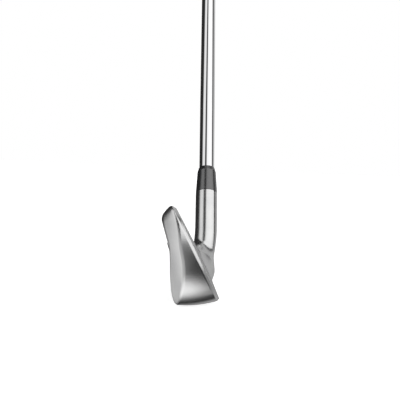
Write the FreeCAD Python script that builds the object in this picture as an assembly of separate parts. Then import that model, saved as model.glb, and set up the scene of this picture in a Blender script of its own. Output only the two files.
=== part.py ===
import FreeCAD, Part
import math
import os

from FreeCAD import Placement, Rotation, Vector

# Right-handed mid iron, at address. Millimetres.
# Origin: the point of the sole that touches the ground. +X towards the target, -Y towards the toe, +Z up.

# Club
LIE = 62.0                 # shaft axis above the ground, degrees
LOFT = 27.3                # face tilt from the vertical, degrees
CLUB_LENGTH = 952.5        # along the shaft axis, from the ground to the edge of the cap
DATUM = Vector(12.75, 39.9, 0)  # where the shaft axis meets the ground

# Head
EDGE_X = 16.35             # leading edge on the face plane
EDGE_Z = 3.3
SOLE_CAMBER = 250.0        # radius of the sole from heel to toe
SOLE_TO_TOE = 14.0         # the sole's sweep about its camber centre, degrees
SOLE_TO_HEEL = 16.0
TOE_Y = -38.0
TOE_HEIGHT = 49.3
TOPLINE_DROP = 0.404       # fall of the topline per millimetre towards the heel
PLATE_THICKNESS = 2.6
CREASE_X = -3.1            # where the toe wall turns into the back bevel, at height CREASE_Z
CREASE_Z = 20.0
LEAN = 0.13                # backward lean of that crease per millimetre of height
BEVEL_DEPTH = 8.0
BEVEL_INSET = 6.4

# Upper back of the blade: a plane behind the face
BACK_X = -11.35             # on that plane at height BACK_Z
BACK_Z = 36.0
BACK_SLOPE = 0.33

# Score lines
GROOVES = 11
GROOVE_PITCH = 3.56
GROOVE_WIDTH = 0.76
GROOVE_DEPTH = 0.45
GROOVE_FIRST = 4.5         # first line above the leading edge, along the face
GROOVE_TOE_Y = -24.5
GROOVE_LENGTH = 50.0
GROOVE_MARGIN = 5.0        # from a score line's end to the plate's upper edge

# Face plate: toe side of its outline as (y, distance up the face), from the sole round to the top
PLATE_TOE = [(-20, 3.0), (-28.5, 7.5), (-33.7, 17), (-34.8, 28), (-32.6, 38.5), (-27.4, 46.0), (-20, 46.4)]
PLATE_HEEL_Y = 27.0
PLATE_TOP_SLOPE = 0.45     # fall of its upper edge towards the heel
PLATE_HEEL_TOP = PLATE_TOE[-1][1] - PLATE_TOP_SLOPE * (PLATE_HEEL_Y - PLATE_TOE[-1][0])

# Hollow behind the face
CHAMBER_TOP = 39.5
CHAMBER_TOE_Y = -34.0
CHAMBER_HEEL_Y = 32.0
BACK_WALL = 3.5            # from the upper back plane to the hollow, along X
SOLE_WALL = 2.8
PERIMETER_WALL = 3.1
WEIGHT_FRONT_X = 3.0
TOE_WEIGHT_Y = -16.0
TOE_WEIGHT_TOP = 12.0
HEEL_WEIGHT_Y = 17.0
HEEL_WEIGHT_TOP = 9.0

# Badge on the back, between a toe end and a heel end
BADGE_TOE_Y = -31.5
BADGE_TOE_LOW = 27.4
BADGE_TOE_HIGH = 33.2
BADGE_HEEL_Y = 24.0
BADGE_HEEL_LOW = 20.8
BADGE_HEEL_HIGH = 24.8
BADGE_CORNER = 1.5
BADGE_PROUD = 0.6
BADGE_SEAT = 1.4           # depth of the seat below the upper back plane
TAPE_THICKNESS = 0.3
DAMPER_THICKNESS = 1.1
TRIM_THICKNESS = 0.6

# Hosel, ferrule and shaft, measured along the shaft axis
HOSEL_R = 6.6
HOSEL_TOP = 58.4
HOSEL_FOOT = 11.4
BORE_R = 4.72
BORE_FLOOR = 27.4
FERRULE_TOP = 75.4
FERRULE_SHOULDER = 2.6     # height of the rounded end above the long taper
FERRULE_SHOULDER_R = 5.75
FERRULE_TOP_R = 4.95
TIP_S = 28.7
TIP_R = 4.50
PARALLEL_S = 121.4         # the tip taper ends here
PARALLEL_R = 4.765
BUTT_R = 7.62
BUTT_S = 947.2
STEPS = 12
FIRST_STEP = 290.0
STEP_PITCH = 31.75
STEP_RUN = 2.5
TIP_WALL = 0.6
BUTT_WALL = 0.34
GAP = 0.02                 # bond gap between nested parts
LABEL_LOW = 650.0
LABEL_HIGH = 668.0
LABEL_THICKNESS = 0.1

# Grip
GRIP_MOUTH = 680.0
GRIP_END = 947.5
GRIP_TAPE = 0.15
VENT_R = 2.0
CAP_R = 13.6
CAP_BEVEL = 2.0
GRIP_PROFILE = [(9.4, 681.2), (9.75, 720), (10.2, 780), (10.8, 840), (11.7, 900), (13.3, GRIP_END)]
MOUTH_R = 8.6

# Tip plug
PIN_TOP = 48.4
CORK_TOP = 57.4

# Neck rings: distance along the axis, half-widths along the blade and across it, shift to the toe and to the back
NECK_RINGS = [(41, 6.6, 6.6, 0, 0), (31, 7.8, 6.6, 1.3, 0.6), (21.5, 11, 7.0, 4.6, 2.6), (11.5, 13, 6.6, 6.6, 5.0),
              (3, 9, 5.6, 5.0, 6.2)]

AXIS = Placement(DATUM, Rotation(Vector(1, 0, 0), LIE - 90.0))
TAN_LOFT = math.tan(math.radians(LOFT))
SIN_LOFT = math.sin(math.radians(LOFT))
COS_LOFT = math.cos(math.radians(LOFT))
FAR = 60.0


def closed(points):
    return Part.makePolygon(points + [points[0]])


def turned(profile):
    """A solid of revolution about the shaft axis, from (radius, distance along the axis) corners."""
    wire = closed([Vector(r, 0, s) for r, s in profile])
    solid = Part.Face(wire).revolve(Vector(0, 0, 0), Vector(0, 0, 1), 360)
    solid.Placement = AXIS
    return solid


def rod(radius, low, high):
    return turned([(0, low), (radius, low), (radius, high), (0, high)])


def face_x(z):
    """X of the face plane at height z."""
    return EDGE_X - (z - EDGE_Z) * TAN_LOFT


def back_x(z):
    """X of the upper back plane at height z."""
    return BACK_X + (BACK_Z - z) * BACK_SLOPE


def topline_z(y):
    """Height of the straight part of the topline."""
    return TOE_HEIGHT + 0.8 - TOPLINE_DROP * (y + 28.0)


# ---- head ----

def toe_points():
    """The toe's outline in (y, z), from the sole round to the start of the topline."""
    return [(-12, -1.6), (-20.5, 0.9), (-28.2, 4.9), (-34.6, 12.3), (TOE_Y, 23.5), (-37.0, 36), (-32.8, 45.2),
            (-27.2, TOE_HEIGHT), (-19, topline_z(-19))]


def heel_points():
    """Corners of the heel's outline in (y, z), from the topline down to the sole and along under it."""
    return [(44.5, topline_z(44.5)), (48, 12), (44, 5), (36, -1), (22, -3), (0, -3)]


def moved_in(points, inset):
    """The points of an outline moved towards its inside, square to the line through their neighbours."""
    result = []
    for i, (y, z) in enumerate(points):
        y0, z0 = points[max(i - 1, 0)]
        y1, z1 = points[min(i + 1, len(points) - 1)]
        run = math.hypot(y1 - y0, z1 - z0)
        result.append((y + inset * (z1 - z0) / run, z - inset * (y1 - y0) / run))
    return result


def outline_wire(x, lean, inset):
    """The head's outline, a given amount inside its full size, on a plane that leans back."""
    def place(y, z):
        return Vector(x - lean * (z - CREASE_Z), y, z)

    toe_run = [place(y, z) for y, z in moved_in(toe_points(), inset)]
    heel = [place(y, z) for y, z in moved_in(heel_points(), inset)]
    toe = Part.BSplineCurve()
    toe.interpolate(Points=toe_run, InitialTangent=toe_run[0] - heel[-1], FinalTangent=heel[0] - toe_run[-1])
    run = [toe_run[-1]] + heel + [toe_run[0]]
    edges = [toe.toShape()]
    for a, b in zip(run, run[1:]):
        edges.append(Part.makeLine(a, b))
    return Part.Wire(edges)


def perimeter_solid(wall=0.0):
    """The space inside the outline, less a wall, with the bevel that runs round the back of the toe and topline."""
    back = CREASE_X - BEVEL_DEPTH
    sections = [outline_wire(FAR, 0, wall), outline_wire(CREASE_X, LEAN, wall),
                outline_wire(back, LEAN, wall + BEVEL_INSET)]
    return Part.makeLoft(sections, True, True)


def section_wire(y, waist_z, crest, belly, hip):
    """The side view of the head at one place between toe and heel."""
    corners = [(face_x(-6.5), -6.5), (face_x(FAR), FAR), (back_x(FAR), FAR), (back_x(waist_z), waist_z), crest, belly,
               hip, (-4.8, 0.5), (-4.8, -6.5)]
    return closed([Vector(x, y, z) for x, z in corners])


def blade_sections():
    """Face, upper back and lower back, with the lower back tapering from toe to heel."""
    toe = section_wire(-45, 28.0, (-10.0, 22.5), (-9.3, 14), (-8.2, 7.2))
    heel = section_wire(55, 17.2, (-6.6, 12.5), (-6.9, 9.5), (-6.7, 6.2))
    return Part.makeLoft([toe, heel], True, True)


def sole_tool(lift=0.0):
    """The space above the sole, swept on the camber radius from heel to toe."""
    curve = Part.BSplineCurve()
    sole = [(-14, 3.6), (-4.8, 0.5), (0, 0), (5.5, 0.4), (11, 1.4), (16.5, 3.1), (24, 9)]
    curve.interpolate([Vector(x, 0, z + lift) for x, z in sole])
    first, last = curve.value(curve.FirstParameter), curve.value(curve.LastParameter)
    top_front, top_back = Vector(last.x, 0, 75), Vector(first.x, 0, 75)
    sides = [Part.makeLine(last, top_front), Part.makeLine(top_front, top_back), Part.makeLine(top_back, first)]
    face = Part.Face(Part.Wire([curve.toShape()] + sides))
    centre = Vector(0, 0, SOLE_CAMBER)
    face.rotate(centre, Vector(1, 0, 0), -SOLE_TO_TOE)
    return face.revolve(centre, Vector(1, 0, 0), SOLE_TO_TOE + SOLE_TO_HEEL)


def blade():
    return blade_sections().common(perimeter_solid()).common(sole_tool())


def hosel():
    """The hosel with its rounded foot inside the heel."""
    shank = rod(HOSEL_R, HOSEL_FOOT, HOSEL_TOP)
    foot = Part.makeSphere(HOSEL_R)
    foot.Placement = AXIS.multiply(Placement(Vector(0, 0, HOSEL_FOOT), Rotation()))
    return shank.fuse(foot)


def neck():
    """The flare from the hosel into the heel: ellipses that widen and move towards the blade on the way down."""
    rings = []
    for s, along, across, toward_toe, backward in NECK_RINGS:
        ring = Part.Ellipse(Vector(0, 0, 0), along, across).toShape()
        ring.Placement = AXIS.multiply(Placement(Vector(-backward, -toward_toe, s), Rotation(90, 0, 0)))
        rings.append(Part.Wire([ring]))
    flare = Part.makeLoft(rings, True, False).common(sole_tool())
    return flare.cut(plate_blank(-FAR / 2, FAR / 2 + PLATE_THICKNESS))


def on_face(y, up, depth=0.0):
    """A point a distance up the face from the leading edge and a depth behind its plane."""
    return Vector(EDGE_X - up * SIN_LOFT - depth * COS_LOFT, y, EDGE_Z + up * COS_LOFT - depth * SIN_LOFT)


def plate_wire(depth):
    """The face plate's outline at a depth behind the face."""
    toe = Part.BSplineCurve()
    toe.interpolate([on_face(y, up, depth) for y, up in PLATE_TOE])
    top_heel = on_face(PLATE_HEEL_Y, PLATE_HEEL_TOP, depth)
    low_heel = on_face(PLATE_HEEL_Y, PLATE_TOE[0][1], depth)
    first, last = toe.value(toe.FirstParameter), toe.value(toe.LastParameter)
    sides = [Part.makeLine(last, top_heel), Part.makeLine(top_heel, low_heel), Part.makeLine(low_heel, first)]
    return Part.Wire([toe.toShape()] + sides)


def plate_blank(depth, thickness):
    back = Vector(-COS_LOFT, 0, -SIN_LOFT)
    return Part.Face(plate_wire(depth)).extrude(back * thickness)


def groove(up):
    """One score line, rounded at both ends, that stops short of the topline."""
    heel_y = min(GROOVE_TOE_Y + GROOVE_LENGTH, PLATE_TOE[-1][0] + (PLATE_TOE[-1][1] - up - GROOVE_MARGIN) / PLATE_TOP_SLOPE)
    low, high = up - GROOVE_WIDTH / 2, up + GROOVE_WIDTH / 2
    radius = GROOVE_WIDTH / 2
    a, b = on_face(GROOVE_TOE_Y, high, -1), on_face(heel_y, high, -1)
    c, d = on_face(heel_y, low, -1), on_face(GROOVE_TOE_Y, low, -1)
    edges = [Part.makeLine(a, b), Part.Arc(b, on_face(heel_y + radius, up, -1), c).toShape(), Part.makeLine(c, d),
             Part.Arc(d, on_face(GROOVE_TOE_Y - radius, up, -1), a).toShape()]
    back = Vector(-COS_LOFT, 0, -SIN_LOFT)
    return Part.Face(Part.Wire(edges)).extrude(back * (1 + GROOVE_DEPTH))


def face_plate():
    plate = plate_blank(0, PLATE_THICKNESS)
    lines = [groove(GROOVE_FIRST + i * GROOVE_PITCH) for i in range(GROOVES)]
    return plate.cut(Part.makeCompound(lines))


def chamber():
    """The hollow behind the face plate and inside the lower back."""
    behind = PLATE_THICKNESS / COS_LOFT + GAP

    def section(y, waist_z, shelf_x, shelf_low, foot_x):
        corners = [(face_x(5.6) - behind, 5.6), (face_x(CHAMBER_TOP) - behind, CHAMBER_TOP),
                   (back_x(CHAMBER_TOP) + BACK_WALL, CHAMBER_TOP), (back_x(waist_z) + BACK_WALL, waist_z),
                   (shelf_x, waist_z - 4.5), (shelf_x, shelf_low), (foot_x, SOLE_WALL), (9, SOLE_WALL)]
        return closed([Vector(x, y, z) for x, z in corners])

    room = Part.makeLoft([section(-45, 26, -7.2, 9, -4.8), section(55, 15, -4.2, 7, -3.0)], True, True)
    length = CHAMBER_HEEL_Y - CHAMBER_TOE_Y
    span = Part.makeBox(2 * FAR, length, 2 * FAR, Vector(-FAR, CHAMBER_TOE_Y, -FAR))
    return room.common(span).common(perimeter_solid(PERIMETER_WALL)).common(sole_tool(SOLE_WALL))


def weight_seat(y0, y1, top):
    """The box that holds the bottom of the chamber between two places, behind the face plate."""
    return Part.makeBox(FAR, y1 - y0, top, Vector(WEIGHT_FRONT_X - FAR, y0, 0))


def toe_weight():
    return chamber().common(weight_seat(CHAMBER_TOE_Y, TOE_WEIGHT_Y, TOE_WEIGHT_TOP))


def heel_weight():
    return chamber().common(weight_seat(HEEL_WEIGHT_Y, CHAMBER_HEEL_Y, HEEL_WEIGHT_TOP))


def core_filler():
    return chamber().cut(toe_weight()).cut(heel_weight())


def on_back(y, z, height):
    """A point at height z beside the upper back plane, a distance outside it."""
    length = math.hypot(1, BACK_SLOPE)
    return Vector(back_x(z) - height / length, y, z - height * BACK_SLOPE / length)


def badge_layer(low, high, inset=0.0):
    """One layer of the badge, between two heights above the upper back plane."""
    corners = [(BADGE_TOE_Y + inset, BADGE_TOE_LOW + inset), (BADGE_TOE_Y + inset, BADGE_TOE_HIGH - inset),
               (BADGE_HEEL_Y - inset, BADGE_HEEL_HIGH - inset), (BADGE_HEEL_Y - inset, BADGE_HEEL_LOW + inset)]
    face = Part.Face(closed([on_back(y, z, low) for y, z in corners]))
    solid = face.extrude(on_back(0, 0, high) - on_back(0, 0, low))
    ends = [e for e in solid.Edges if abs(e.Length - (high - low)) < 1e-6]
    return solid.makeFillet(BADGE_CORNER, ends)


def badge_tape():
    return badge_layer(-BADGE_SEAT, -BADGE_SEAT + TAPE_THICKNESS, GAP)


def badge_damper():
    return badge_layer(-BADGE_SEAT + TAPE_THICKNESS, -BADGE_SEAT + TAPE_THICKNESS + DAMPER_THICKNESS, GAP)


def badge_plate():
    return badge_layer(BADGE_PROUD - TRIM_THICKNESS, BADGE_PROUD, GAP)


def head_body():
    """Head and hosel in one piece, less the seats for everything it carries."""
    body = blade().fuse(neck()).fuse(hosel())
    body = body.cut(plate_blank(-1, PLATE_THICKNESS + 1))
    body = body.cut(chamber())
    body = body.cut(badge_layer(-BADGE_SEAT, BADGE_PROUD + 3))
    bore = turned([(0, BORE_FLOOR - 2), (BORE_R, BORE_FLOOR), (BORE_R, HOSEL_TOP + 1), (0, HOSEL_TOP + 1)])
    return body.cut(bore)


# ---- shaft ----

def shaft_corners(inward_tip, inward_butt):
    """The stepped outline of the shaft, moved in by an amount that changes evenly from tip to butt."""
    rise = (BUTT_R - PARALLEL_R) / STEPS
    corners = [(TIP_R, TIP_S), (PARALLEL_R, PARALLEL_S)]
    for i in range(STEPS):
        s = FIRST_STEP + i * STEP_PITCH
        corners.append((PARALLEL_R + i * rise, s))
        corners.append((PARALLEL_R + (i + 1) * rise, s + STEP_RUN))
    corners.append((BUTT_R, BUTT_S))
    span = BUTT_S - TIP_S
    return [(r - inward_tip - (inward_butt - inward_tip) * (s - TIP_S) / span, s) for r, s in corners]


def shaft():
    return turned(shaft_corners(0, 0) + list(reversed(shaft_corners(TIP_WALL, BUTT_WALL))))


def hosel_epoxy():
    """The bond line between the shaft's tip and the bore."""
    tip = [(r + GAP, s) for r, s in shaft_corners(0, 0)[:2]]
    outer_at_top = TIP_R + (PARALLEL_R - TIP_R) * (HOSEL_TOP - TIP_S) / (PARALLEL_S - TIP_S)
    return turned([tip[0], (BORE_R - GAP, TIP_S), (BORE_R - GAP, HOSEL_TOP), (outer_at_top + GAP, HOSEL_TOP)])


def tip_weight():
    """A pin inside the tube, with a flange under the shaft's end."""
    inner = TIP_R - TIP_WALL - GAP
    flange = BORE_FLOOR + GAP
    corners = [(0, flange), (TIP_R, flange), (TIP_R, TIP_S - GAP), (inner, TIP_S - GAP)]
    return turned(corners + [(inner, PIN_TOP), (0, PIN_TOP)])


def tip_cork():
    return rod(TIP_R - TIP_WALL - GAP, PIN_TOP + GAP, CORK_TOP)


def ferrule():
    low, high = HOSEL_TOP + GAP, FERRULE_TOP
    inner = PARALLEL_R - 0.12
    shoulder = high - FERRULE_SHOULDER
    return turned([(inner, low), (HOSEL_R, low), (FERRULE_SHOULDER_R, shoulder), (FERRULE_TOP_R, high), (inner, high)])


def shaft_label():
    """A thin band of foil round the shaft below the grip."""
    inner, outer = BUTT_R + GAP, BUTT_R + LABEL_THICKNESS
    return turned([(inner, LABEL_LOW), (outer, LABEL_LOW), (outer, LABEL_HIGH), (inner, LABEL_HIGH)])


# ---- grip ----

def grip_tape():
    inner, outer = BUTT_R + GAP, BUTT_R + GRIP_TAPE
    return turned([(inner, GRIP_MOUTH + 3), (outer, GRIP_MOUTH + 3), (outer, BUTT_S), (inner, BUTT_S)])


def grip_sleeve():
    """The tapered rubber sleeve, with a rounded mouth and a swell towards the butt."""
    inner = BUTT_R + GRIP_TAPE + GAP
    curve = Part.BSplineCurve()
    curve.interpolate([Vector(r, 0, s) for r, s in GRIP_PROFILE])
    first, last = curve.value(curve.FirstParameter), curve.value(curve.LastParameter)
    corners = [last, Vector(inner, 0, GRIP_END), Vector(inner, 0, GRIP_MOUTH), Vector(MOUTH_R, 0, GRIP_MOUTH), first]
    edges = [curve.toShape()]
    for a, b in zip(corners, corners[1:]):
        edges.append(Part.makeLine(a, b))
    solid = Part.Face(Part.Wire(edges)).revolve(Vector(0, 0, 0), Vector(0, 0, 1), 360)
    solid.Placement = AXIS
    return solid


def grip_cap():
    """The butt cap: a flat disc with a bevelled rim and a vent hole."""
    low, high = GRIP_END + GAP, CLUB_LENGTH
    return turned([(VENT_R, low), (CAP_R, low), (CAP_R, high - CAP_BEVEL), (CAP_R - CAP_BEVEL, high), (VENT_R, high)])


PARTS = {
    "head_body": head_body,
    "face_plate": face_plate,
    "toe_weight": toe_weight,
    "heel_weight": heel_weight,
    "core_filler": core_filler,
    "badge_tape": badge_tape,
    "badge_damper": badge_damper,
    "badge_plate": badge_plate,
    "hosel_epoxy": hosel_epoxy,
    "ferrule": ferrule,
    "shaft": shaft,
    "tip_weight": tip_weight,
    "tip_cork": tip_cork,
    "shaft_label": shaft_label,
    "grip_tape": grip_tape,
    "grip_sleeve": grip_sleeve,
    "grip_cap": grip_cap,
}

os.makedirs("parts", exist_ok=True)
for name, make in PARTS.items():
    shape = make()
    print(name, round(shape.Volume, 1), "mm3,", len(shape.Solids), "solid, valid" if shape.isValid() else "INVALID")
    shape.exportStep(f"parts/{name}.step")
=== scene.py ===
import math

import bmesh
import bpy
import numpy as np
from mathutils import Matrix, Vector


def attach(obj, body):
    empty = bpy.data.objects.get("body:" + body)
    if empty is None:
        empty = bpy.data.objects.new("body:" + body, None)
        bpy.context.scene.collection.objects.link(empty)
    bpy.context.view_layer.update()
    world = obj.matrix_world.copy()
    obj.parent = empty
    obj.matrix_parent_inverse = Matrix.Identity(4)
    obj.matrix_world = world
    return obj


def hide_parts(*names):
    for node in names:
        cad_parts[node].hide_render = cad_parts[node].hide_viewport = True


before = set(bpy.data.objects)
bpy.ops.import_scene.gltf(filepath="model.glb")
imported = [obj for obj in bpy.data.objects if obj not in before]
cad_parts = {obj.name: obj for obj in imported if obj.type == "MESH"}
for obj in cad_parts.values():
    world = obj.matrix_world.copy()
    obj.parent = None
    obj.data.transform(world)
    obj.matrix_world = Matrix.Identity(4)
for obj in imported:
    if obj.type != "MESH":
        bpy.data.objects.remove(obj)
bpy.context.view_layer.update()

MM = 0.001

# ---- dimensions in millimetres ----
# +X is the target side, -Y the toe and Z up. The sole touches the ground at the origin.
# The main sizes are those of the CAD part. The blade's outline, sole, crease and edges and the
# hosel's foot are drawn here for the visual head alone, so they differ from the CAD head's.
LIE = math.radians(62.0)
LOFT = math.radians(27.3)
COS_LOFT = math.cos(LOFT)
SIN_LOFT = math.sin(LOFT)
EDGE_X = 16.35                       # the leading edge, where the face meets the sole
EDGE_Z = 3.3
PLATE_THICKNESS = 2.6
FOOT = np.array([12.75, 39.9, 0.0])  # where the shaft axis meets the ground
AXIS = np.array([0.0, math.cos(LIE), math.sin(LIE)])
SPOKE = np.array([1.0, 0.0, 0.0])    # SPOKE and SIDE are square to the shaft axis
SIDE = np.cross(AXIS, SPOKE)
CAMBER = 250.0                       # radius of the sole from toe to heel
HOSEL_R = 6.6
HOSEL_TOP = 58.4                     # along the shaft axis, like the foot, the bore's floor and the grip
HOSEL_FOOT = 9.0
BORE_R = 4.72
BORE_FLOOR = 27.4
GRIP_MOUTH = 680.0
GRIP_END = 947.5
# radius, distance along the shaft axis
GRIP_PROFILE = [(9.4, 681.2), (9.75, 720), (10.2, 780), (10.8, 840), (11.7, 900), (13.3, GRIP_END)]
GRIP_BORE = 7.79

TOE_HEIGHT = 49.3
TOPLINE_DROP = 0.404                 # fall of the topline for each millimetre towards the heel
TOPLINE_RISE = 0.8                   # the topline's height above TOE_HEIGHT, where y is TOPLINE_Y
TOPLINE_Y = -28.0


def topline_z(y):
    return TOE_HEIGHT + TOPLINE_RISE - TOPLINE_DROP * (y - TOPLINE_Y)


# The blade's outline seen along X, as (y, z), from the sole round the toe to the heel.
TOE_SIDE = [(-6, -2.6), (-12, -1.6), (-20.5, 0.9), (-28.2, 4.9), (-34.6, 12.3), (-38.0, 23.5),
            (-37.2, 36), (-33.4, 45.6), (-27.8, TOE_HEIGHT + 0.5)]
TOPLINE = [(y, topline_z(y)) for y in (-19, -8, 12, 32, 43)]
HEEL_SIDE = [(47.5, 13), (44.5, 4.5), (36, -2.5), (20, -4), (6, -3.6)]
OUTLINE = TOE_SIDE + TOPLINE + HEEL_SIDE
# The sole from back to front, as (x, z).
SOLE = [(-20, 6.6), (-14, 3.5), (-4.8, 0.3), (0, -0.1), (5.5, 0.0), (11, 0.6), (16.5, 1.7), (24, 6.5)]
# Where the toe wall turns into the bevel behind it, as (z, x).
CREASE = [(-6, -5.2), (6.9, -4.0), (12, -3.15), (19, -2.9), (25, -3.35), (30.4, -4.5), (45.8, -7.8),
          (50.2, -10.2), (60, -15)]

WALL_CROWN = 55.0                    # radius of the toe wall from front to back
BEVEL_SLOPE = 0.6
BEVEL_CROWN = 0.022
FACE_EDGE = 1.35                     # the chamfer round the face
CHAMFER_TILT = 1.3                   # how much more that chamfer faces outwards than forwards
EDGE_BREAK = 0.15                    # the small rounding of a crisp edge
RIM_ROUND = 0.5                      # where the toe wall meets the bevel
SOLE_ROUND = 1.6                     # where the sole meets the toe wall
LEADING_ROUND = 1.5                  # where the sole meets the face
BACK_ROUND = 0.9                     # where the back meets the rest, and more near the topline
CAP_ROUND = 1.4
CAP_HEIGHT = 38.0
CAP_RISE = 10.0
NECK_FILL = 12.0                     # the fillet between blade and hosel
FOOT_ROUND = 3.0                     # where the hosel's foot meets the sole
DRAW_HEIGHT = 33.0                   # below this the hosel's foot draws back from the face
DRAW = 165.0
BACK_HEIGHT = 36.0                   # the upper back plane passes through (BACK_X, BACK_HEIGHT)
BACK_X = -11.35
BACK_LEAN = 0.33
BACK_OFFSET = 0.25                   # how far the upper and the lower back lie outside their lines
LOWER_OFFSET = 0.4
WAIST_FILL = 4.0                     # the fillet between the upper and the lower back
BACK_TOE_Y = -45.0                   # the lower back is drawn at this y and BACK_LENGTH further on
BACK_LENGTH = 100.0
OUTLINE_STEP = 0.5
OUTLINE_LOW = (-46, -10)
OUTLINE_HIGH = (80, 62)
HEAD_LOW = (-17.0, -39.0, -1.2)
HEAD_HIGH = (21.2, 75.0, 58.6)
HEAD_STEP = 0.5


def cubic(xs, ys):
    """A natural cubic through the points, as a function of an array."""
    xs, ys = np.array(xs, float), np.array(ys, float)
    n = len(xs)
    h = np.diff(xs)
    a = np.zeros((n, n))
    b = np.zeros(n)
    a[0, 0] = a[-1, -1] = 1
    for i in range(1, n - 1):
        a[i, i - 1], a[i, i], a[i, i + 1] = h[i - 1], 2 * (h[i - 1] + h[i]), h[i]
        b[i] = 6 * ((ys[i + 1] - ys[i]) / h[i] - (ys[i] - ys[i - 1]) / h[i - 1])
    m = np.linalg.solve(a, b)

    def f(x):
        x = np.clip(x, xs[0], xs[-1])
        i = np.clip(np.searchsorted(xs, x) - 1, 0, n - 2)
        t, u = x - xs[i], xs[i + 1] - x
        return ((m[i] * u**3 + m[i + 1] * t**3) / (6 * h[i]) + (ys[i] / h[i] - m[i] * h[i] / 6) * u
                + (ys[i + 1] / h[i] - m[i + 1] * h[i] / 6) * t)

    return f


sole_height = cubic([p[0] for p in SOLE], [p[1] for p in SOLE])
crease_x = cubic([p[0] for p in CREASE], [p[1] for p in CREASE])


def closed_curve(points, steps):
    """A smooth closed curve through the points: centripetal Catmull-Rom."""
    p = np.array(points, float)
    n = len(p)
    out = []
    for i in range(n):
        a, b, c, d = p[i - 1], p[i], p[(i + 1) % n], p[(i + 2) % n]
        t0 = 0.0
        t1 = t0 + math.sqrt(np.linalg.norm(b - a))
        t2 = t1 + math.sqrt(np.linalg.norm(c - b))
        t3 = t2 + math.sqrt(np.linalg.norm(d - c))
        for t in np.linspace(t1, t2, steps, endpoint=False):
            a1 = (t1 - t) / (t1 - t0) * a + (t - t0) / (t1 - t0) * b
            a2 = (t2 - t) / (t2 - t1) * b + (t - t1) / (t2 - t1) * c
            a3 = (t3 - t) / (t3 - t2) * c + (t - t2) / (t3 - t2) * d
            b1 = (t2 - t) / (t2 - t0) * a1 + (t - t0) / (t2 - t0) * a2
            b2 = (t3 - t) / (t3 - t1) * a2 + (t - t1) / (t3 - t1) * a3
            out.append((t2 - t) / (t2 - t1) * b1 + (t - t1) / (t2 - t1) * b2)
    return np.array(out)


def distance_table(curve, low, high, step):
    """Signed distance to a closed curve on a grid: negative inside."""
    ys = np.arange(low[0], high[0] + step, step)
    zs = np.arange(low[1], high[1] + step, step)
    y, z = np.meshgrid(ys, zs, indexing="ij")
    q = np.stack([y.ravel(), z.ravel()], 1)
    a, b = curve, np.roll(curve, -1, 0)
    best = np.full(len(q), 1e9)
    inside = np.zeros(len(q), bool)
    for p0, p1 in zip(a, b):
        e = p1 - p0
        w = q - p0
        t = np.clip((w @ e) / (e @ e), 0, 1)
        d = w - t[:, None] * e
        best = np.minimum(best, (d * d).sum(1))
        crosses = (p0[1] > q[:, 1]) != (p1[1] > q[:, 1])
        if crosses.any():
            x = p0[0] + (q[:, 1] - p0[1]) / (p1[1] - p0[1] + 1e-12) * e[0]
            inside ^= crosses & (q[:, 0] < x)
    d = np.sqrt(best) * np.where(inside, -1, 1)
    return ys, zs, d.reshape(y.shape)


outline_curve = closed_curve(OUTLINE, 10)
table_y, table_z, table_d = distance_table(outline_curve, OUTLINE_LOW, OUTLINE_HIGH, OUTLINE_STEP)


def outline_distance(y, z):
    """Distance outside the blade's outline, read from the table."""
    fy = np.clip((y - table_y[0]) / OUTLINE_STEP, 0, len(table_y) - 1.001)
    fz = np.clip((z - table_z[0]) / OUTLINE_STEP, 0, len(table_z) - 1.001)
    i, j = fy.astype(int), fz.astype(int)
    u, v = fy - i, fz - j
    return ((table_d[i, j] * (1 - u) + table_d[i + 1, j] * u) * (1 - v)
            + (table_d[i, j + 1] * (1 - u) + table_d[i + 1, j + 1] * u) * v)


def both(a, b, r):
    """The part inside both shapes, with the edge rounded."""
    return np.minimum(-r, np.maximum(a, b)) + np.hypot(np.maximum(a + r, 0), np.maximum(b + r, 0))


def either(a, b, r):
    """Two shapes joined, with the inner corner filled."""
    return np.maximum(r, np.minimum(a, b)) - np.hypot(np.maximum(r - a, 0), np.maximum(r - b, 0))


def chamfered(a, b, c):
    """The part inside both shapes, with a flat cut along the edge."""
    slope = (CHAMFER_TILT * a + b + c) / math.hypot(CHAMFER_TILT, 1)
    return both(np.maximum(a, b), slope, EDGE_BREAK)


def line_side(x, z, p, q):
    """Distance outside the line from p down to q; both may vary along the blade."""
    dx, dz = q[0] - p[0], q[1] - p[1]
    length = np.hypot(dx, dz)
    return ((x - p[0]) * dz - (z - p[1]) * dx) / length


def back_plane_x(z):
    """Where the upper back plane lies at a height."""
    return BACK_X + (BACK_HEIGHT - z) * BACK_LEAN


def below_sole(x, y, z):
    """How far a point lies under the cambered sole, measured straight down."""
    camber_z = CAMBER - np.sqrt(y * y + (CAMBER - z) ** 2)
    return sole_height(x) - camber_z


def back_distance(x, y, z):
    """Distance outside the upper back plane and the thicker lower back joined to it."""
    t = np.clip((y - BACK_TOE_Y) / BACK_LENGTH, 0, 1)

    def along(toe, heel):
        return toe[0] + (heel[0] - toe[0]) * t, toe[1] + (heel[1] - toe[1]) * t

    waist_z = 28.0 + (17.2 - 28.0) * t
    waist = (back_plane_x(waist_z) + 0.3, waist_z)
    crest = along((-10.0, 22.5), (-6.6, 12.5))
    belly = along((-9.3, 14.0), (-6.9, 9.5))
    hip = along((-8.2, 7.2), (-6.7, 6.2))
    tail = (-4.8, 0.5)
    slab = (back_plane_x(z) - x) / math.hypot(1, BACK_LEAN)
    lower = both(line_side(x, z, waist, crest), line_side(x, z, crest, belly), 2.2)
    lower = both(lower, line_side(x, z, belly, hip), 2.5)
    lower = both(lower, line_side(x, z, hip, tail), 1.2)
    return either(slab - BACK_OFFSET, lower - LOWER_OFFSET, WAIST_FILL)


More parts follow.
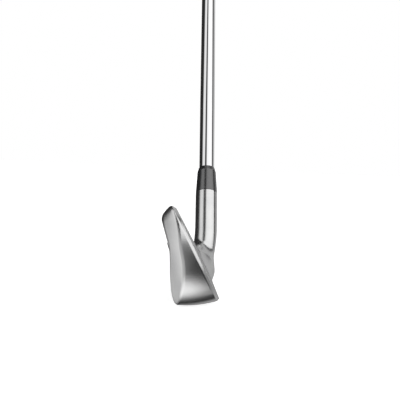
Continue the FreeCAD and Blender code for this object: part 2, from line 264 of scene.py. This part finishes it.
def blade(x, y, z):
    """Distance outside the blade without its hosel."""
    slope = (sole_height(x + 0.05) - sole_height(x - 0.05)) / 0.1
    sole = below_sole(x, y, z) / np.sqrt(1 + slope * slope)
    face = (x - EDGE_X) * COS_LOFT + (z - EDGE_Z) * SIN_LOFT
    outline = outline_distance(y, z)
    line = crease_x(z)
    wall = outline + np.clip(x - line, 0, 40) ** 2 / (2 * WALL_CROWN)
    behind = np.clip(line - x, 0, 20)
    inset = BEVEL_SLOPE * (line - x) + BEVEL_CROWN * behind ** 2
    bevel = (outline + inset) / np.sqrt(1 + (BEVEL_SLOPE + 2 * BEVEL_CROWN * behind) ** 2)
    body = both(both(wall, bevel, RIM_ROUND), sole, SOLE_ROUND)
    body = chamfered(body, face, FACE_EDGE)
    body = np.maximum(body, both(face, sole, LEADING_ROUND))
    cap = np.clip((z - CAP_HEIGHT) / CAP_RISE, 0, 1)
    return both(body, back_distance(x, y, z), BACK_ROUND + CAP_ROUND * cap * cap)


def hosel(x, y, z):
    """Distance outside the hosel, whose foot draws back from the face."""
    drawn = np.clip(DRAW_HEIGHT - z, 0, 40) ** 2 / DRAW
    px, py, pz = x + drawn - FOOT[0], y - FOOT[1], z - FOOT[2]
    s = py * AXIS[1] + pz * AXIS[2]
    s_foot = np.clip(s, HOSEL_FOOT, 200)
    radial = np.sqrt(px**2 + (py - s_foot * AXIS[1]) ** 2 + (pz - s_foot * AXIS[2]) ** 2)
    rod = both(radial - HOSEL_R, below_sole(x, y, z), FOOT_ROUND)
    return both(rod, s - HOSEL_TOP, EDGE_BREAK)


def head_distance(p):
    """Distance outside the whole head, for points in the last axis of p."""
    x, y, z = p[..., 0], p[..., 1], p[..., 2]
    return either(blade(x, y, z), hosel(x, y, z), NECK_FILL)


def gradient(f, p, h=0.02):
    """Unit vectors along the slope of f."""
    g = np.empty_like(p)
    for k in range(3):
        d = np.zeros(3)
        d[k] = h
        g[..., k] = f(p + d) - f(p - d)
    return g / np.maximum(np.linalg.norm(g, axis=-1, keepdims=True), 1e-9)


def surface_nets(f, low, high, step):
    """Quads on the zero surface of f, with their vertices pulled onto it."""
    axes = [np.arange(low[k], high[k] + step, step) for k in range(3)]
    grid = np.empty([len(a) for a in axes])
    for i, x in enumerate(axes[0]):
        y, z = np.meshgrid(axes[1], axes[2], indexing="ij")
        grid[i] = f(np.stack([np.full_like(y, x), y, z], -1))
    inside = grid < 0
    shape = np.array(grid.shape) - 1
    count = np.zeros(shape, np.int8)
    for i, j, k in np.ndindex(2, 2, 2):
        count += inside[i:i + shape[0], j:j + shape[1], k:k + shape[2]]
    mixed = (count > 0) & (count < 8)
    index = np.full(shape, -1, np.int64)
    cells = np.argwhere(mixed)
    index[mixed] = np.arange(len(cells))
    total = np.zeros((len(cells), 3))
    hits = np.zeros(len(cells))
    for axis in range(3):
        others = [k for k in range(3) if k != axis]
        for offset in np.ndindex(2, 2):
            start = cells.copy()
            start[:, others] += offset
            end = start.copy()
            end[:, axis] += 1
            v0, v1 = grid[tuple(start.T)], grid[tuple(end.T)]
            crossed = (v0 < 0) != (v1 < 0)
            t = np.where(crossed, v0 / np.where(crossed, v0 - v1, 1), 0)
            point = start.astype(float)
            point[:, axis] += t
            total[crossed] += point[crossed]
            hits[crossed] += 1
    verts = np.array(low) + step * total / hits[:, None]
    for _ in range(4):
        n = gradient(f, verts)
        verts = verts - n * np.clip(f(verts), -0.3, 0.3)[:, None]
    quads = []
    for axis in range(3):
        u, v = (axis + 1) % 3, (axis + 2) % 3
        lo = [slice(None)] * 3
        hi = [slice(None)] * 3
        lo[axis], hi[axis] = slice(0, -1), slice(1, None)
        edges = np.argwhere(inside[tuple(lo)] != inside[tuple(hi)])
        across_u, across_v = edges[:, u], edges[:, v]
        interior = (across_u > 0) & (across_v > 0) & (across_u < shape[u]) & (across_v < shape[v])
        edges = edges[interior]
        ring = []
        for du, dv in ((0, 0), (-1, 0), (-1, -1), (0, -1)):
            e = edges.copy()
            e[:, u] += du
            e[:, v] += dv
            ring.append(index[tuple(e.T)])
        ring = np.stack(ring, 1)
        flip = ~inside[tuple(edges.T)]
        ring[flip] = ring[flip][:, ::-1]
        quads.append(ring)
    return verts, np.concatenate(quads)


def new_mesh(name, verts, faces):
    """A smooth-shaded object from arrays of points in metres and of equal-sided faces."""
    mesh = bpy.data.meshes.new(name)
    verts = np.ascontiguousarray(verts, np.float32)
    faces = np.ascontiguousarray(faces, np.int32)
    mesh.vertices.add(len(verts))
    mesh.vertices.foreach_set("co", verts.ravel())
    mesh.loops.add(faces.size)
    mesh.loops.foreach_set("vertex_index", faces.ravel())
    mesh.polygons.add(len(faces))
    mesh.polygons.foreach_set("loop_start", np.arange(0, faces.size, faces.shape[1], dtype=np.int32))
    mesh.update(calc_edges=True)
    mesh.validate()
    mesh.polygons.foreach_set("use_smooth", np.ones(len(mesh.polygons), bool))
    obj = bpy.data.objects.new(name, mesh)
    bpy.context.scene.collection.objects.link(obj)
    return obj


def revolved(name, radii, heights, sides, close=True):
    """A surface of revolution about the shaft axis. radii may be a (rings, sides) array."""
    radii = np.asarray(radii, float)
    if radii.ndim == 1:
        radii = np.repeat(radii[:, None], sides, 1)
    turn = np.linspace(0, 2 * math.pi, sides, endpoint=False)
    spokes = np.cos(turn)[:, None] * SPOKE + np.sin(turn)[:, None] * SIDE
    verts = FOOT + np.asarray(heights, float)[:, None, None] * AXIS + radii[:, :, None] * spokes
    rings = len(radii)
    faces = []
    j = np.arange(sides)
    k = (j + 1) % sides
    for i in range(rings if close else rings - 1):
        n = (i + 1) % rings
        faces.append(np.stack([i * sides + j, i * sides + k, n * sides + k, n * sides + j], 1))
    return new_mesh(name, verts.reshape(-1, 3) * MM, np.concatenate(faces))


# ---- head ----
verts, quads = surface_nets(head_distance, HEAD_LOW, HEAD_HIGH, HEAD_STEP)
head = new_mesh("head_shell", verts * MM, quads)


def cutter_from(node, push=None):
    """A copy of a CAD node used as a cutting tool."""
    obj = bpy.data.objects.new("cutter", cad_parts[node].data.copy())
    bpy.context.scene.collection.objects.link(obj)
    if push is not None:
        mesh = obj.data
        co = np.empty(len(mesh.vertices) * 3, np.float32)
        mesh.vertices.foreach_get("co", co)
        co = push(co.reshape(-1, 3))
        mesh.vertices.foreach_set("co", np.ascontiguousarray(co, np.float32).ravel())
        mesh.update()
    return obj


def lifted(amount):
    """A function that moves points in metres off the upper back plane by an amount in millimetres."""
    normal = np.array([-1.0, 0.0, -BACK_LEAN]) / math.hypot(1, BACK_LEAN)
    return lambda co: co + normal * amount * MM


def cut(target, tool):
    """Cuts the tool out of the target and removes the tool."""
    mod = target.modifiers.new("cut", "BOOLEAN")
    mod.operation = "DIFFERENCE"
    mod.solver = "EXACT"
    mod.object = tool
    bpy.context.view_layer.update()
    graph = bpy.context.evaluated_depsgraph_get()
    mesh = bpy.data.meshes.new_from_object(target.evaluated_get(graph))
    target.modifiers.clear()
    if len(mesh.polygons) < 0.5 * len(target.data.polygons):
        raise RuntimeError("a cut removed most of the head")
    target.data = mesh
    bpy.data.objects.remove(tool)


def plate_slab(depth_low, depth_high):
    """A prism with the face plate's outline, between two depths behind the face."""
    co = np.array([v.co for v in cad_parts["face_plate"].data.vertices]) / MM
    depth = -((co[:, 0] - EDGE_X) * COS_LOFT + (co[:, 2] - EDGE_Z) * SIN_LOFT)
    back = co[depth > depth.max() - 0.01]
    up = -(back[:, 0] - EDGE_X) * SIN_LOFT + (back[:, 2] - EDGE_Z) * COS_LOFT
    flat = np.stack([back[:, 1], up], 1)
    centre = flat.mean(0)
    order = np.argsort(np.arctan2(flat[:, 1] - centre[1], flat[:, 0] - centre[0]))
    flat = flat[order]
    keep = [0]
    for i in range(1, len(flat)):
        if np.linalg.norm(flat[i] - flat[keep[-1]]) > 0.02:
            keep.append(i)
    flat = flat[keep]
    n = len(flat)
    rows = []
    for depth_at in (depth_low, depth_high):
        x = EDGE_X - flat[:, 1] * SIN_LOFT - depth_at * COS_LOFT
        z = EDGE_Z + flat[:, 1] * COS_LOFT - depth_at * SIN_LOFT
        rows.append(np.stack([x, flat[:, 0], z], 1))
    bm = bmesh.new()
    lo = [bm.verts.new(p * MM) for p in rows[0]]
    hi = [bm.verts.new(p * MM) for p in rows[1]]
    bm.faces.new(lo)
    bm.faces.new(hi[::-1])
    for i in range(n):
        j = (i + 1) % n
        bm.faces.new((lo[i], hi[i], hi[j], lo[j]))
    bmesh.ops.recalc_face_normals(bm, faces=bm.faces)
    mesh = bpy.data.meshes.new("slab")
    bm.to_mesh(mesh)
    bm.free()
    obj = bpy.data.objects.new("slab", mesh)
    bpy.context.scene.collection.objects.link(obj)
    return obj


def bore_tool():
    """A rod that fills the hosel's bore."""
    heights = [BORE_FLOOR, BORE_FLOOR, HOSEL_TOP + 1, HOSEL_TOP + 1]
    obj = revolved("bore", [0.001, BORE_R, BORE_R, 0.001], heights, 64, close=False)
    bm = bmesh.new()
    bm.from_mesh(obj.data)
    bmesh.ops.remove_doubles(bm, verts=bm.verts, dist=0.00001)
    bmesh.ops.recalc_face_normals(bm, faces=bm.faces)
    bm.to_mesh(obj.data)
    bm.free()
    return obj


PLATE_CLEARANCE = 3.0                # the slab starts this far in front of the face
BADGE_LIFTS = (0.02, 0.5, 1.0)       # copies of the badge, one behind another, that open its seat
cut(head, plate_slab(-PLATE_CLEARANCE, PLATE_THICKNESS))
for node in ("core_filler", "toe_weight", "heel_weight"):
    cut(head, cutter_from(node))
cut(head, bore_tool())
for amount in BADGE_LIFTS:
    cut(head, cutter_from("badge_plate", lifted(amount)))


def set_head_normals(mesh):
    """Shading normals: the exact ones of the outer surface, and flat ones on the cut faces."""
    co = np.empty(len(mesh.vertices) * 3)
    mesh.vertices.foreach_get("co", co)
    co = co.reshape(-1, 3) / MM
    exact = gradient(head_distance, co)
    off = np.abs(head_distance(co))
    loop_vertex = np.empty(len(mesh.loops), np.int64)
    mesh.loops.foreach_get("vertex_index", loop_vertex)
    face_normal = np.empty(len(mesh.polygons) * 3)
    mesh.polygons.foreach_get("normal", face_normal)
    face_normal = face_normal.reshape(-1, 3)
    totals = np.empty(len(mesh.polygons), np.int64)
    mesh.polygons.foreach_get("loop_total", totals)
    loop_face = np.repeat(np.arange(len(totals)), totals)
    normal = exact[loop_vertex]
    flat = face_normal[loop_face]
    outer = (off[loop_vertex] < 0.08) & ((normal * flat).sum(1) > 0.6)
    normal[~outer] = flat[~outer]
    mesh.polygons.foreach_set("use_smooth", np.ones(len(mesh.polygons), bool))
    mesh.normals_split_custom_set(normal.tolist())


set_head_normals(head.data)
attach(head, "root")
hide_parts("head_body")

# ---- grip ----
grip_radius = cubic([p[1] for p in GRIP_PROFILE], [p[0] for p in GRIP_PROFILE])
MOUTH_LENGTH = 2.0                   # the rounded lip at the grip's mouth
MOUTH_DROP = 1.3
LOZENGES_AROUND = 11
LOZENGE_LENGTH = 9.0
LOZENGE_DEPTH = 0.42
PIMPLES_AROUND = 44
PIMPLE_LENGTH = 2.4
PIMPLE_DEPTH = 0.10
MOULDED_ZONES = [(700, 776), (784, 868), (876, 938)]
RING_GROOVES = [694.0, 780.0, 872.0, 941.5]
RING_DEPTH = 0.35
RING_WIDTH = 0.9
ZONE_FADE = 2.0


def grip_sleeve():
    """The rubber sleeve: moulded lozenges in three zones, ring grooves between them and a smooth mouth."""
    sides = 132
    step = 0.55
    s = np.arange(GRIP_MOUTH + MOUTH_LENGTH, GRIP_END - 0.3, step)
    turn = np.linspace(0, 2 * math.pi, sides, endpoint=False)
    s_column = s[:, None] - GRIP_MOUTH
    a = turn[None, :] * LOZENGES_AROUND
    b = s_column * 2 * math.pi / LOZENGE_LENGTH
    cross = np.abs(np.sin((a + b) / 2)) * np.abs(np.sin((a - b) / 2))
    lozenge = np.clip((cross - 0.16) / 0.18, 0, 1)
    lozenge = lozenge * lozenge * (3 - 2 * lozenge)
    pimple = np.sin(turn[None, :] * PIMPLES_AROUND) * np.sin(s_column * 2 * math.pi / PIMPLE_LENGTH)
    depth = LOZENGE_DEPTH * (1 - lozenge) + PIMPLE_DEPTH * (0.5 + 0.5 * pimple) * lozenge

    zones = np.zeros_like(s)
    for low, high in MOULDED_ZONES:
        rise = np.clip((s - low) / ZONE_FADE, 0, 1)
        fall = np.clip((high - s) / ZONE_FADE, 0, 1)
        zones += np.minimum(rise, fall)
    grooves = np.zeros_like(s)
    for at in RING_GROOVES:
        grooves += RING_DEPTH * np.exp(-(((s - at) / RING_WIDTH) ** 2))
    outer = grip_radius(s)[:, None] - zones[:, None] * depth - grooves[:, None]

    mouth_r = grip_radius(np.array([GRIP_MOUTH + MOUTH_LENGTH]))[0]
    tail_r = grip_radius(np.array([GRIP_END]))[0]
    lip_turn = np.linspace(0, math.pi / 2, 7)[:-1]
    lip_r = [mouth_r - MOUTH_DROP * (1 - math.sin(t)) for t in lip_turn]
    lip_s = [GRIP_MOUTH + MOUTH_LENGTH - MOUTH_LENGTH * math.cos(t) for t in lip_turn]
    radii = [np.full(sides, r) for r in [GRIP_BORE] + lip_r]
    radii += list(outer)
    radii += [np.full(sides, r) for r in (tail_r, GRIP_BORE)]
    heights = [GRIP_MOUTH] + lip_s + list(s) + [GRIP_END, GRIP_END]
    return revolved("grip_rubber_sleeve", np.array(radii), heights, sides)


grip = grip_sleeve()
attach(grip, "root")
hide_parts("grip_sleeve")


# ---- materials ----
class Nodes:
    """A small helper that builds a node material."""

    def __init__(self, name):
        self.mat = bpy.data.materials.new(name)
        self.mat.use_nodes = True
        self.tree = self.mat.node_tree
        self.shader = self.tree.nodes["Principled BSDF"]
        self.coord = self.add("ShaderNodeTexCoord").outputs["Object"]

    def add(self, kind, **settings):
        node = self.tree.nodes.new(kind)
        for key, value in settings.items():
            setattr(node, key, value)
        return node

    def link(self, a, b):
        self.tree.links.new(a, b)

    def put(self, **values):
        for key, value in values.items():
            self.shader.inputs[key.replace("_", " ")].default_value = value

    def scaled(self, scale, turn=(0, 0, 0)):
        """Object coordinates stretched by a factor on each axis, turned first."""
        spin = self.add("ShaderNodeMapping")
        spin.inputs["Rotation"].default_value = turn
        self.link(self.coord, spin.inputs["Vector"])
        stretch = self.add("ShaderNodeMapping")
        stretch.inputs["Scale"].default_value = scale
        self.link(spin.outputs["Vector"], stretch.inputs["Vector"])
        return stretch.outputs["Vector"]

    def noise(self, vector, scale, detail=4, rough=0.55):
        node = self.add("ShaderNodeTexNoise")
        node.inputs["Scale"].default_value = scale
        node.inputs["Detail"].default_value = detail
        node.inputs["Roughness"].default_value = rough
        self.link(vector, node.inputs["Vector"])
        return node.outputs["Fac"]

    def span(self, value, low, high, from_low=0.3, from_high=0.7):
        node = self.add("ShaderNodeMapRange")
        node.inputs["From Min"].default_value = from_low
        node.inputs["From Max"].default_value = from_high
        node.inputs["To Min"].default_value = low
        node.inputs["To Max"].default_value = high
        self.link(value, node.inputs["Value"])
        return node.outputs["Result"]

    def colours(self, value, stops):
        node = self.add("ShaderNodeValToRGB")
        ramp = node.color_ramp
        while len(ramp.elements) < len(stops):
            ramp.elements.new(0.5)
        for element, (at, colour) in zip(ramp.elements, stops):
            element.position = at
            element.color = (*colour, 1)
        self.link(value, node.inputs["Fac"])
        return node.outputs["Color"]

    def math(self, kind, a, b):
        node = self.add("ShaderNodeMath", operation=kind)
        for socket, value in zip(node.inputs, (a, b)):
            if isinstance(value, (int, float)):
                socket.default_value = value
            else:
                self.link(value, socket)
        return node.outputs[0]

    def bump(self, height, distance, strength=1.0):
        node = self.add("ShaderNodeBump")
        node.inputs["Distance"].default_value = distance
        node.inputs["Strength"].default_value = strength
        self.link(height, node.inputs["Height"])
        self.link(node.outputs["Normal"], self.shader.inputs["Normal"])

    def axial(self):
        """Coordinates turned so that Z runs along the shaft."""
        node = self.add("ShaderNodeMapping")
        node.vector_type = "TEXTURE"
        node.inputs["Location"].default_value = (FOOT[0] * MM, FOOT[1] * MM, 0)
        node.inputs["Rotation"].default_value = (LIE - math.pi / 2, 0, 0)
        self.link(self.coord, node.inputs["Vector"])
        return node.outputs["Vector"]

    def along_shaft(self):
        """Distance along the shaft axis, in metres."""
        split = self.add("ShaderNodeSeparateXYZ")
        self.link(self.axial(), split.inputs[0])
        return split.outputs["Z"]


def satin_steel():
    """Satin steel, a little smoother on the hosel than on the blade."""
    m = Nodes("satin_steel")
    m.put(Metallic=1.0)
    broad = m.noise(m.coord, 90, 3)
    grain = m.noise(m.scaled((700, 2600, 2600)), 1.0, 3)
    colour = m.colours(broad, [(0.3, (0.60, 0.60, 0.605)), (0.7, (0.66, 0.66, 0.655))])
    m.link(colour, m.shader.inputs["Base Color"])
    polish_low, polish_high = 0.026, 0.042
    polish = m.span(m.along_shaft(), 0.0, -0.05, polish_low, polish_high)
    rough = m.math("ADD", m.span(grain, 0.20, 0.26), polish)
    m.link(rough, m.shader.inputs["Roughness"])
    m.bump(m.noise(m.coord, 3800, 2), 0.00002, 0.35)
    return m.mat


def face_steel():
    """Blasted steel with fine milling lines."""
    m = Nodes("blasted_steel")
    m.put(Metallic=1.0)
    mill = m.add("ShaderNodeTexWave", wave_type="BANDS", bands_direction="Z")
    mill.inputs["Scale"].default_value = 900
    mill.inputs["Distortion"].default_value = 0.6
    m.link(m.coord, mill.inputs["Vector"])
    grit = m.noise(m.coord, 2600, 3)
    broad = m.noise(m.coord, 60, 4)
    colour = m.colours(broad, [(0.25, (0.50, 0.50, 0.505)), (0.75, (0.60, 0.60, 0.60))])
    m.link(colour, m.shader.inputs["Base Color"])
    m.link(m.span(grit, 0.30, 0.42), m.shader.inputs["Roughness"])
    m.bump(m.math("ADD", m.math("MULTIPLY", mill.outputs["Fac"], 0.5), grit), 0.00003, 0.5)
    return m.mat


def chrome():
    """Bright plating with faint draw lines along the tube."""
    m = Nodes("plated_steel")
    m.put(Metallic=1.0)
    stretch = m.add("ShaderNodeMapping")
    stretch.inputs["Scale"].default_value = (900, 900, 60)
    m.link(m.axial(), stretch.inputs["Vector"])
    draw = m.noise(stretch.outputs["Vector"], 1.0, 3)
    broad = m.noise(m.coord, 40, 2)
    colour = m.colours(broad, [(0.3, (0.74, 0.74, 0.75)), (0.7, (0.78, 0.78, 0.78))])
    m.link(colour, m.shader.inputs["Base Color"])
    m.link(m.span(draw, 0.018, 0.034), m.shader.inputs["Roughness"])
    m.bump(draw, 0.000002, 0.12)
    return m.mat


def ferrule_plastic():
    """Black turned plastic with fine rings from the lathe."""
    m = Nodes("ferrule_black")
    turned = m.noise(m.scaled((300, 300, 5200), (math.pi / 2 - LIE, 0, 0)), 1.0, 3)
    broad = m.noise(m.coord, 260, 3)
    colour = m.colours(broad, [(0.3, (0.010, 0.010, 0.011)), (0.7, (0.018, 0.018, 0.019))])
    m.link(colour, m.shader.inputs["Base Color"])
    m.link(m.span(turned, 0.20, 0.27), m.shader.inputs["Roughness"])
    m.put(IOR=2.2)
    m.bump(turned, 0.000006, 0.25)
    return m.mat


def rubber(name, low, high, cell, rough):
    """Matt black rubber, speckled and slightly worn."""
    m = Nodes(name)
    speck = m.noise(m.coord, cell, 5, 0.6)
    worn = m.noise(m.coord, 55, 4)
    mixed = m.math("ADD", m.math("MULTIPLY", speck, 0.5), m.math("MULTIPLY", worn, 0.5))
    m.link(m.colours(mixed, [(0.35, low), (0.65, high)]), m.shader.inputs["Base Color"])
    m.link(m.span(speck, rough[0], rough[1]), m.shader.inputs["Roughness"])
    m.put(Specular_IOR_Level=0.35)
    m.bump(speck, 0.00012, 0.6)
    return m.mat


def badge_metal():
    """Dark brushed trim."""
    m = Nodes("badge_trim")
    m.put(Metallic=1.0)
    brushed = m.noise(m.scaled((9000, 160, 9000)), 1.0, 3)
    colour = m.colours(brushed, [(0.3, (0.085, 0.087, 0.092)), (0.7, (0.15, 0.152, 0.158))])
    m.link(colour, m.shader.inputs["Base Color"])
    m.link(m.span(brushed, 0.28, 0.42), m.shader.inputs["Roughness"])
    m.bump(brushed, 0.00001, 0.4)
    return m.mat


def foil():
    """A dark blue foil band with a pale stripe near each end."""
    m = Nodes("foil_band")
    band_low, band_high = 0.650, 0.668
    along = m.span(m.along_shaft(), 0, 1, band_low, band_high)
    blue, pale = (0.04, 0.055, 0.10), (0.55, 0.56, 0.58)
    stripes = m.colours(along, [(0.0, blue), (0.18, blue), (0.20, pale), (0.26, pale), (0.28, blue),
                                (0.72, blue), (0.74, pale), (0.80, pale), (0.82, blue)])
    m.link(stripes, m.shader.inputs["Base Color"])
    m.link(m.span(m.noise(m.coord, 900, 3), 0.12, 0.24), m.shader.inputs["Roughness"])
    m.put(Coat_Weight=0.6, Coat_Roughness=0.1)
    return m.mat


def speckled(name, low, high, scale, rough, metallic=0.0):
    """A plain mottled finish for the parts that sit inside."""
    m = Nodes(name)
    m.put(Metallic=metallic)
    grain = m.noise(m.coord, scale, 5, 0.6)
    m.link(m.colours(grain, [(0.3, low), (0.7, high)]), m.shader.inputs["Base Color"])
    m.link(m.span(grain, rough[0], rough[1]), m.shader.inputs["Roughness"])
    m.bump(grain, 0.00006, 0.5)
    return m.mat


def finish_with(obj, material):
    obj.data.materials.clear()
    obj.data.materials.append(material)


finish_with(head, satin_steel())
finish_with(grip, rubber("grip_rubber", (0.022, 0.022, 0.024), (0.042, 0.042, 0.044), 2400,
                         (0.62, 0.80)))
finishes = {
    "face_plate": face_steel(),
    "shaft": chrome(),
    "ferrule": ferrule_plastic(),
    "badge_plate": badge_metal(),
    "shaft_label": foil(),
    "grip_cap": rubber("cap_rubber", (0.018, 0.018, 0.019), (0.034, 0.034, 0.036), 1800,
                       (0.45, 0.6)),
    "toe_weight": speckled("tungsten", (0.20, 0.20, 0.21), (0.32, 0.32, 0.33), 1400,
                           (0.45, 0.6), 1.0),
    "core_filler": speckled("core_polymer", (0.48, 0.43, 0.30), (0.60, 0.55, 0.42), 700, (0.6, 0.8)),
    "badge_tape": speckled("adhesive", (0.74, 0.72, 0.64), (0.84, 0.82, 0.76), 900, (0.4, 0.6)),
    "badge_damper": speckled("elastomer", (0.03, 0.03, 0.03), (0.07, 0.07, 0.07), 1200, (0.6, 0.8)),
    "hosel_epoxy": speckled("epoxy", (0.52, 0.45, 0.28), (0.66, 0.58, 0.38), 800, (0.15, 0.3)),
    "tip_weight": speckled("brass_pin", (0.62, 0.46, 0.20), (0.76, 0.58, 0.28), 1000,
                           (0.22, 0.36), 1.0),
    "tip_cork": speckled("cork", (0.45, 0.28, 0.15), (0.68, 0.48, 0.30), 900, (0.7, 0.9)),
}
finishes["heel_weight"] = finishes["toe_weight"]
finishes["grip_tape"] = finishes["badge_tape"]
for name, material in finishes.items():
    finish_with(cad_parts[name], material)


def smooth_by_angle(obj, degrees):
    """Smooth shading between faces that meet at less than an angle. No point moves."""
    mesh = obj.data
    mesh.polygons.foreach_set("use_smooth", np.ones(len(mesh.polygons), bool))
    mesh.set_sharp_from_angle(angle=math.radians(degrees))


SHARP_ANGLE = 25
for name in ("ferrule", "shaft", "badge_plate", "grip_cap", "shaft_label"):
    smooth_by_angle(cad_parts[name], SHARP_ANGLE)

# ---- camera ----
SENSOR = 36.0                        # millimetres, like LENS
LENS = 56.79
POSITION = Vector((-0.01275, -0.3208, 0.0706))
PITCH = math.radians(3.43)
YAW = math.radians(3.20)
ROLL = math.radians(2.56)
cam = bpy.data.cameras.new("camera")
cam.sensor_width = SENSOR
cam.lens = LENS
cam.clip_start = 0.01
cam.clip_end = 50.0
camera = bpy.data.objects.new("camera", cam)
bpy.context.scene.collection.objects.link(camera)
forward = Vector((math.sin(YAW) * math.cos(PITCH), math.cos(YAW) * math.cos(PITCH), -math.sin(PITCH)))
right = Vector((math.cos(YAW), -math.sin(YAW), 0))
up = right.cross(forward)
across = right * math.cos(ROLL) + up * math.sin(ROLL)
upward = up * math.cos(ROLL) - right * math.sin(ROLL)
place = Matrix((across, upward, -forward)).transposed().to_4x4()
place.translation = POSITION
camera.matrix_world = place
bpy.context.scene.camera = camera

# ---- studio ----
bpy.context.scene.view_settings.view_transform = "Standard"


def studio_world():
    """Light from all round: a softbox on each side, dark gaps between them and a bright patch of floor.

    The camera itself sees plain white.
    """
    world = bpy.data.worlds.new("studio")
    bpy.context.scene.world = world
    world.use_nodes = True
    tree = world.node_tree
    tree.nodes.clear()
    links = tree.links

    def add(kind, **settings):
        node = tree.nodes.new(kind)
        for key, value in settings.items():
            setattr(node, key, value)
        return node

    def calc(kind, a, b):
        node = add("ShaderNodeMath", operation=kind)
        for socket, value in zip(node.inputs, (a, b)):
            if isinstance(value, (int, float)):
                socket.default_value = value
            else:
                links.new(value, socket)
        return node.outputs[0]

    def ramp(value, stops):
        node = add("ShaderNodeValToRGB")
        r = node.color_ramp
        r.interpolation = "LINEAR"
        while len(r.elements) < len(stops):
            r.elements.new(0.5)
        for element, (at, level) in zip(r.elements, stops):
            element.position = at
            element.color = (level, level, level, 1)
        links.new(value, node.inputs["Fac"])
        return node.outputs["Color"]

    direction = add("ShaderNodeTexCoord").outputs["Generated"]
    split = add("ShaderNodeSeparateXYZ")
    links.new(direction, split.inputs[0])
    x, y, z = split.outputs
    azimuth = calc("ARCTAN2", x, calc("MULTIPLY", y, -1.0))
    turn = calc("ADD", calc("DIVIDE", azimuth, 2 * math.pi), 0.5)

    def round_about(stops):
        """Brightness by azimuth in degrees: 0 is the toe side and 90 the target side."""
        return ramp(turn, [(degrees / 360.0 + 0.5, level) for degrees, level in stops])

    sides = round_about([(-180, 0.002), (-97, 0.002), (-87, 0.95), (-55, 1.1), (-43, 0.07), (-17, 0.07),
                         (-4, 1.2), (60, 1.35), (95, 1.25), (99, 0.002), (114, 0.002), (122, 0.6),
                         (180, 0.55)])
    mid = round_about([(-180, 0.005), (-128, 0.005), (-108, 0.03), (-96, 0.42), (-80, 0.66), (-62, 1.05),
                       (-48, 0.7), (-14, 0.5), (-1, 0.32), (12, 0.15), (30, 0.4), (80, 1.1),
                       (94, 1.1), (100, 0.05), (112, 0.05), (122, 0.6), (180, 0.55)])
    low = round_about([(-180, 0.08), (-128, 0.05), (-112, 0.3), (-98, 0.42), (-80, 0.66), (-62, 1.1),
                       (-46, 0.7), (-14, 0.52), (-1, 0.33), (12, 0.06), (60, 0.04), (86, 0.3),
                       (106, 0.4), (135, 0.5), (180, 0.4)])
    # the bright patch of floor under the toe side, the paler floor behind the club's back, and the
    # dark floor beyond the club
    down = calc("MULTIPLY", z, -1.0)
    toward_patch = calc("ADD", calc("MULTIPLY", y, -0.30), calc("MULTIPLY", z, -0.94))
    patch = calc("ADD", calc("MULTIPLY", x, -0.17), toward_patch)
    under = ramp(patch, [(0.0, 0.03), (0.62, 0.03), (0.76, 0.10), (0.83, 0.36), (0.885, 0.80),
                         (0.93, 1.15), (0.96, 1.35), (1.0, 1.45)])
    behind = calc("MINIMUM", calc("MULTIPLY", x, -1.0), down)
    left = ramp(behind, [(0.0, 0.0), (0.10, 0.0), (0.30, 0.60), (1.0, 0.85)])
    beyond = calc("MINIMUM", calc("MULTIPLY", y, 3.0), down)
    away = ramp(beyond, [(0.0, 1.0), (0.58, 1.0), (0.78, 0.03), (1.0, 0.03)])
    height = calc("ADD", calc("MULTIPLY", z, 0.5), 0.5)
    upper_share = ramp(height, [(0.0, 0), (0.60, 0.0), (0.70, 1.0), (1.0, 1.0)])
    mid_share = ramp(height, [(0.0, 0), (0.50, 0.0), (0.56, 1.0), (1.0, 1.0)])

    def blend(kind, a, b, share=None):
        node = add("ShaderNodeMix", data_type="RGBA", blend_type=kind)
        node.inputs["Factor"].default_value = 1.0
        if share is not None:
            links.new(share, node.inputs["Factor"])
        links.new(a, node.inputs["A"])
        links.new(b, node.inputs["B"])
        return node.outputs["Result"]

    around = blend("MIX", blend("MIX", low, mid, mid_share), sides, upper_share)
    around = blend("MULTIPLY", around, away)
    colour = blend("LIGHTEN", blend("LIGHTEN", around, under), left)
    light = add("ShaderNodeBackground")
    links.new(colour, light.inputs["Color"])
    light.inputs["Strength"].default_value = 1.0
    white = add("ShaderNodeBackground")
    white.inputs["Color"].default_value = (1, 1, 1, 1)
    path = add("ShaderNodeLightPath")
    choose = add("ShaderNodeMixShader")
    links.new(path.outputs["Is Camera Ray"], choose.inputs["Fac"])
    links.new(light.outputs[0], choose.inputs[1])
    links.new(white.outputs[0], choose.inputs[2])
    out = add("ShaderNodeOutputWorld")
    links.new(choose.outputs[0], out.inputs["Surface"])


FLOOR_Z = -0.0004
FLOOR_GLOW = 0.75


def studio_floor():
    """A pale floor under the club that gives off enough light to read as white.

    Reflections don't show it: the club reflects the studio world instead.
    """
    size = 6.0
    mesh = bpy.data.meshes.new("floor")
    corners = [(-size, -size, 0), (size, -size, 0), (size, size, 0), (-size, size, 0)]
    mesh.from_pydata(corners, [], [(0, 1, 2, 3)])
    obj = bpy.data.objects.new("floor", mesh)
    bpy.context.scene.collection.objects.link(obj)
    obj.location.z = FLOOR_Z
    mat = bpy.data.materials.new("floor")
    mat.use_nodes = True
    shader = mat.node_tree.nodes["Principled BSDF"]
    shader.inputs["Base Color"].default_value = (0.9, 0.9, 0.9, 1)
    shader.inputs["Roughness"].default_value = 0.9
    shader.inputs["Specular IOR Level"].default_value = 0.0
    shader.inputs["Emission Color"].default_value = (1, 1, 1, 1)
    shader.inputs["Emission Strength"].default_value = FLOOR_GLOW
    mesh.materials.append(mat)
    obj.visible_glossy = False


studio_world()
studio_floor()
